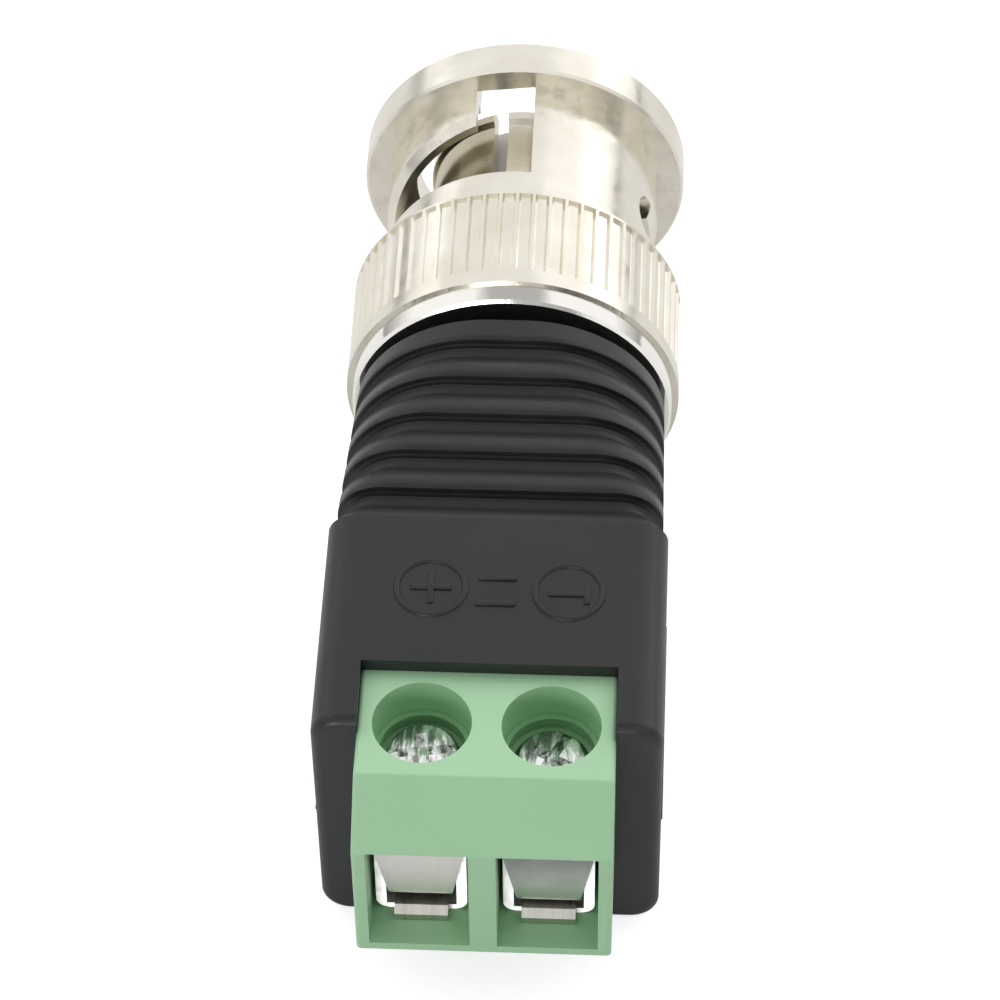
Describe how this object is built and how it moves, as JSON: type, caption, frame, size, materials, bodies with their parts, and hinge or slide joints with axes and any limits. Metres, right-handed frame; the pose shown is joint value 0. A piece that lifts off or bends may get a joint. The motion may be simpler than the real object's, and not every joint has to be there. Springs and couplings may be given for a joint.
{
  "type": "bnc screw terminal adapter",
  "caption": "Coaxial bayonet plug with a knurled nut, moulded to a ribbed black body and a green screw terminal block for bare wires.",
  "frame": {"origin": "centre of the coupling nut's mouth, on the plug axis, with the nut at rest", "axes": "+Y along the plug axis, out of the mouth; +Z towards the side of the terminal screws; +X across both poles, from plus to minus"},
  "size_m": [0.0144, 0.0421, 0.0144],
  "materials": {
    "nickel_plate": "polished nickel plate on brass and die-cast zinc",
    "gold_plate": "thin gold plate on the contact pin",
    "spring_steel": "plain",
    "seal_rubber": "soft black rubber",
    "white_insulator": "smooth",
    "black_body": "satin, soft moulding",
    "green_block": "satin",
    "zinc_plate": "bright zinc plate",
    "tinned_copper": "tinned",
    "red_sleeve": "smooth",
    "solder": "bright"
  },
  "bodies": {
    "adapter_body": {"moulded_body": "black_body", "plug_body": "nickel_plate", "face_seal": "seal_rubber", "wave_washer": "spring_steel", "centre_pin": "gold_plate", "insulator": "white_insulator", "terminal_housing": "green_block", "clamp_cage_plus": "zinc_plate", "clamp_cage_minus": "zinc_plate", "contact_strip_plus": "tinned_copper", "contact_strip_minus": "tinned_copper", "positive_lead": "tinned_copper", "negative_lead": "tinned_copper", "positive_lead_sleeve": "red_sleeve", "solder_joints": "solder"},
    "nut_washer": {"thrust_washer": "spring_steel"},
    "nut": {"coupling_nut": "nickel_plate"},
    "guard_plus": {"wire_guard_plus": "spring_steel"},
    "guard_minus": {"wire_guard_minus": "spring_steel"},
    "screw_plus": {"clamp_screw_plus": "zinc_plate"},
    "screw_minus": {"clamp_screw_minus": "zinc_plate"}
  },
  "joints": [
    {"name": "nut_pull", "type": "slide", "parent": "adapter_body", "child": "nut_washer", "axis": [0, 1, 0], "range_m": [0, 0.0005], "stiffness_N_per_m": 1500, "springref_m": -0.0005},
    {"name": "nut_turn", "type": "hinge", "parent": "nut_washer", "child": "nut", "pos_m": [0, 0, 0], "axis": [0, 1, 0], "continuous": true},
    {"name": "guard_plus_lift", "type": "slide", "parent": "adapter_body", "child": "guard_plus", "axis": [0, 0, 1], "range_m": [-0.0004, 0.0012]},
    {"name": "screw_plus_turn", "type": "hinge", "parent": "guard_plus", "child": "screw_plus", "pos_m": [-0.00254, -0.03699, 0], "axis": [0, 0, 1], "range_deg": [-365, 1085]},
    {"name": "guard_minus_lift", "type": "slide", "parent": "adapter_body", "child": "guard_minus", "axis": [0, 0, 1], "range_m": [-0.0002, 0.0014]},
    {"name": "screw_minus_turn", "type": "hinge", "parent": "guard_minus", "child": "screw_minus", "pos_m": [0.00254, -0.03699, 0], "axis": [0, 0, 1], "range_deg": [-185, 1265]}
  ],
  "couplings": [
    {"joint": "screw_plus_turn", "follows": "guard_plus_lift", "rad_per_m": 15708},
    {"joint": "screw_minus_turn", "follows": "guard_minus_lift", "rad_per_m": 15708}
  ]
}
